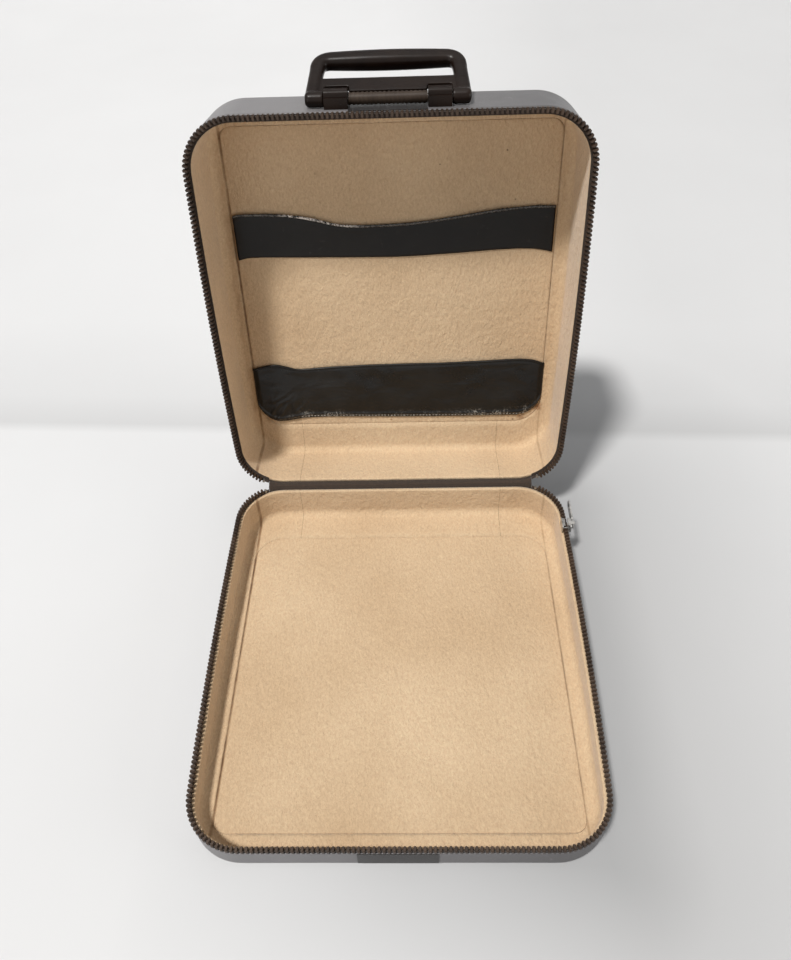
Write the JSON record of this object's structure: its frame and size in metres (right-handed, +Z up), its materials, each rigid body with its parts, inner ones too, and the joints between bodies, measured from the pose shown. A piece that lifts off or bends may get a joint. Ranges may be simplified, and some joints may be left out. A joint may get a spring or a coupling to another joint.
{
  "type": "zipped typewriter case",
  "caption": "Open soft-cornered carrying case with a zip round its rim, felt lining, a pocket and band inside the lid, and a swinging ring handle.",
  "frame": {"origin": "middle of the base's underside, below the middle of the base tray", "axes": "+X to the right along the hinge line, +Y to the back, towards the hinge, +Z up; the lid stands open behind the base"},
  "size_m": [0.3214, 0.4614, 0.4023],
  "materials": {
    "cover_vinyl": "satin",
    "stripe_vinyl": "satin",
    "inner_vinyl": "satin",
    "felt": "matte",
    "pressed_board": "matte",
    "pulp_board": "matte",
    "zip_tape": "matte",
    "zip_teeth": "satin",
    "zip_metal": "satin",
    "thread": "matte",
    "moulded_plastic": "satin",
    "steel": "satin"
  },
  "bodies": {
    "base": {"base_cover": "cover_vinyl", "base_board": "pressed_board", "base_lining_floor": "felt", "base_lining_walls": "felt", "base_lining_back": "felt", "base_stripe": "stripe_vinyl", "zip_tape_base": "zip_tape", "zip_teeth_base": "zip_teeth", "zip_stops_base": "zip_metal", "hinge_strip_lower": "zip_tape"},
    "lid": {"lid_cover": "cover_vinyl", "lid_board": "pulp_board", "lid_lining_panel": "felt", "lid_lining_walls": "felt", "lid_lining_back": "felt", "lid_stripe": "stripe_vinyl", "zip_tape_lid": "zip_tape", "zip_teeth_lid": "zip_teeth", "zip_stops_lid": "zip_metal", "hinge_strip_upper": "zip_tape", "upper_band": "inner_vinyl", "lower_pocket": "inner_vinyl", "pocket_stitches": "thread", "handle_bracket_left": "moulded_plastic", "handle_bracket_right": "moulded_plastic", "handle_rivets": "steel", "handle_backing_plate": "steel", "handle_pin": "steel", "handle_sleeve": "moulded_plastic"},
    "handle": {"handle_ring": "moulded_plastic"},
    "slider": {"zip_slider": "zip_metal"},
    "tab": {"zip_pull_tab": "zip_metal"}
  },
  "joints": [
    {"name": "lid_hinge", "type": "hinge", "parent": "base", "child": "lid", "pos_m": [0, 0.17, 0.04344], "axis": [-1, 0, 0], "range_deg": [-100, 0]},
    {"name": "handle_swing", "type": "hinge", "parent": "lid", "child": "handle", "pos_m": [0, 0.23872, 0.38388], "axis": [1, 0, 0], "range_deg": [0, 140]},
    {"name": "slider_run", "type": "slide", "parent": "base", "child": "slider", "axis": [0, -0.9993, -0.0379], "range_m": [0, 0.23415]},
    {"name": "tab_swing", "type": "hinge", "parent": "slider", "child": "tab", "pos_m": [0.16138, 0.11662, 0.04142], "axis": [0, 0.0379, -0.9993], "range_deg": [0, 170]}
  ]
}
